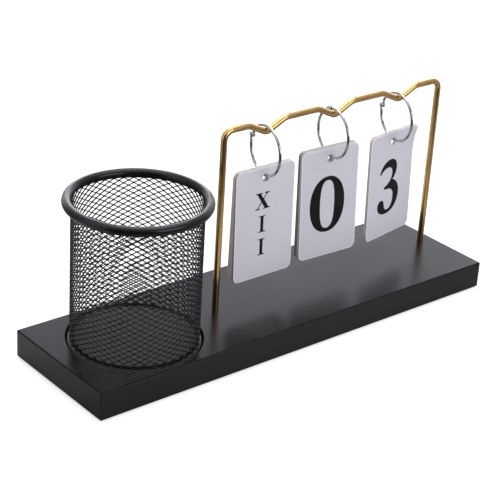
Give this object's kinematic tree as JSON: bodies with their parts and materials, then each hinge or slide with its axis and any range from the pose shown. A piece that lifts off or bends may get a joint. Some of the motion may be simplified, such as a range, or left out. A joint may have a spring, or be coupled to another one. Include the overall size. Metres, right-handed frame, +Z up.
{
  "type": "desk calendar with pen holder",
  "caption": "Desk calendar with pen holder: flip cards hang on binder rings from a notched wire frame, beside a lift-off mesh cup that stands in a groove, on a flat board.",
  "frame": {"origin": "under the middle of the board, on the plane that the foot pads stand on", "axes": "+X along the board from the pen cup towards the calendar frame, +Y to the back, away from the cards' printed faces, +Z up"},
  "size_m": [0.31, 0.09, 0.1404],
  "materials": {
    "board": "satin black lacquer over fibreboard",
    "pad": "matt, self-adhesive",
    "frame_rod": "polished, clear lacquered",
    "cup_mesh": "black powder coat on expanded steel",
    "cup_tube": "black powder coat on rolled tube",
    "ring_wire": "bright nickel plate",
    "rivet": "bright nickel plate",
    "card": "coated board, pale grey, printed in black"
  },
  "bodies": {
    "base": {"base_board": "board", "foot_pad_front_left": "pad", "foot_pad_back_left": "pad", "foot_pad_front_right": "pad", "foot_pad_back_right": "pad", "wire_frame": "frame_rod"},
    "pen_cup": {"cup_mesh_wall": "cup_mesh", "cup_rim": "cup_tube", "cup_base_ring": "cup_tube"},
    "month_ring": {"month_ring_upper_half": "ring_wire", "month_ring_rivet": "rivet"},
    "month_ring_gate": {"month_ring_lower_half": "ring_wire"},
    "month_leaf_1": {"month_card_1": "card"},
    "month_leaf_2": {"month_card_2": "card"},
    "month_leaf_3": {"month_card_3": "card"},
    "month_leaf_4": {"month_card_4": "card"},
    "month_leaf_5": {"month_card_5": "card"},
    "month_leaf_6": {"month_card_6": "card"},
    "tens_ring": {"tens_ring_upper_half": "ring_wire", "tens_ring_rivet": "rivet"},
    "tens_ring_gate": {"tens_ring_lower_half": "ring_wire"},
    "tens_leaf_1": {"tens_card_1": "card"},
    "tens_leaf_2": {"tens_card_2": "card"},
    "tens_leaf_3": {"tens_card_3": "card"},
    "tens_leaf_4": {"tens_card_4": "card"},
    "units_ring": {"units_ring_upper_half": "ring_wire", "units_ring_rivet": "rivet"},
    "units_ring_gate": {"units_ring_lower_half": "ring_wire"},
    "units_leaf_1": {"units_card_1": "card"},
    "units_leaf_2": {"units_card_2": "card"},
    "units_leaf_3": {"units_card_3": "card"},
    "units_leaf_4": {"units_card_4": "card"},
    "units_leaf_5": {"units_card_5": "card"}
  },
  "joints": [
    {"name": "pen_cup_lift", "type": "slide", "parent": "base", "child": "pen_cup", "axis": [0, 0, 1], "range_m": [0, 0.1]},
    {"name": "month_ring_swing", "type": "hinge", "parent": "base", "child": "month_ring", "pos_m": [-0.0055, 0, 0.132], "axis": [1, 0, 0], "range_deg": [-40, 40]},
    {"name": "month_ring_open", "type": "hinge", "parent": "month_ring", "child": "month_ring_gate", "pos_m": [-0.00394, 0.01486, 0.12469], "axis": [0.9945, -0.1045, 0], "range_deg": [0, 45]},
    {"name": "month_leaf_2_turn", "type": "hinge", "parent": "month_ring_gate", "child": "month_leaf_2", "pos_m": [-0.0055, 0, 0.11925], "axis": [0.9945, -0.1045, 0], "range_deg": [-20, 20]},
    {"name": "month_leaf_1_turn", "type": "hinge", "parent": "month_leaf_2", "child": "month_leaf_1", "pos_m": [-0.0055, 0, 0.11925], "axis": [0.9945, -0.1045, 0], "range_deg": [-110, 0]},
    {"name": "month_leaf_3_turn", "type": "hinge", "parent": "month_leaf_2", "child": "month_leaf_3", "pos_m": [-0.0055, 0, 0.11925], "axis": [0.9945, -0.1045, 0], "range_deg": [0, 16]},
    {"name": "month_leaf_4_turn", "type": "hinge", "parent": "month_leaf_3", "child": "month_leaf_4", "pos_m": [-0.0055, 0, 0.11925], "axis": [0.9945, -0.1045, 0], "range_deg": [0, 16]},
    {"name": "month_leaf_5_turn", "type": "hinge", "parent": "month_leaf_4", "child": "month_leaf_5", "pos_m": [-0.0055, 0, 0.11925], "axis": [0.9945, -0.1045, 0], "range_deg": [0, 16]},
    {"name": "month_leaf_6_turn", "type": "hinge", "parent": "month_leaf_5", "child": "month_leaf_6", "pos_m": [-0.0055, 0, 0.11925], "axis": [0.9945, -0.1045, 0], "range_deg": [0, 16]},
    {"name": "tens_ring_swing", "type": "hinge", "parent": "base", "child": "tens_ring", "pos_m": [0.05, 0, 0.132], "axis": [1, 0, 0], "range_deg": [-40, 40]},
    {"name": "tens_ring_open", "type": "hinge", "parent": "tens_ring", "child": "tens_ring_gate", "pos_m": [0.05057, 0.00541, 0.13419], "axis": [0.9945, -0.1045, 0], "range_deg": [0, 45]},
    {"name": "tens_leaf_2_turn", "type": "hinge", "parent": "tens_ring_gate", "child": "tens_leaf_2", "pos_m": [0.05, 0, 0.11925], "axis": [0.9945, -0.1045, 0], "range_deg": [-20, 20]},
    {"name": "tens_leaf_1_turn", "type": "hinge", "parent": "tens_leaf_2", "child": "tens_leaf_1", "pos_m": [0.05, 0, 0.11925], "axis": [0.9945, -0.1045, 0], "range_deg": [-110, 0]},
    {"name": "tens_leaf_3_turn", "type": "hinge", "parent": "tens_leaf_2", "child": "tens_leaf_3", "pos_m": [0.05, 0, 0.11925], "axis": [0.9945, -0.1045, 0], "range_deg": [0, 28]},
    {"name": "tens_leaf_4_turn", "type": "hinge", "parent": "tens_leaf_3", "child": "tens_leaf_4", "pos_m": [0.05, 0, 0.11925], "axis": [0.9945, -0.1045, 0], "range_deg": [0, 28]},
    {"name": "units_ring_swing", "type": "hinge", "parent": "base", "child": "units_ring", "pos_m": [0.1055, 0, 0.132], "axis": [1, 0, 0], "range_deg": [-40, 40]},
    {"name": "units_ring_open", "type": "hinge", "parent": "units_ring", "child": "units_ring_gate", "pos_m": [0.10713, 0.01552, 0.12228], "axis": [0.9945, -0.1045, 0], "range_deg": [0, 45]},
    {"name": "units_leaf_2_turn", "type": "hinge", "parent": "units_ring_gate", "child": "units_leaf_2", "pos_m": [0.1055, 0, 0.11925], "axis": [0.9945, -0.1045, 0], "range_deg": [-20, 20]},
    {"name": "units_leaf_1_turn", "type": "hinge", "parent": "units_leaf_2", "child": "units_leaf_1", "pos_m": [0.1055, 0, 0.11925], "axis": [0.9945, -0.1045, 0], "range_deg": [-100, 0]},
    {"name": "units_leaf_3_turn", "type": "hinge", "parent": "units_leaf_2", "child": "units_leaf_3", "pos_m": [0.1055, 0, 0.11925], "axis": [0.9945, -0.1045, 0], "range_deg": [0, 18]},
    {"name": "units_leaf_4_turn", "type": "hinge", "parent": "units_leaf_3", "child": "units_leaf_4", "pos_m": [0.1055, 0, 0.11925], "axis": [0.9945, -0.1045, 0], "range_deg": [0, 18]},
    {"name": "units_leaf_5_turn", "type": "hinge", "parent": "units_leaf_4", "child": "units_leaf_5", "pos_m": [0.1055, 0, 0.11925], "axis": [0.9945, -0.1045, 0], "range_deg": [0, 18]}
  ]
}
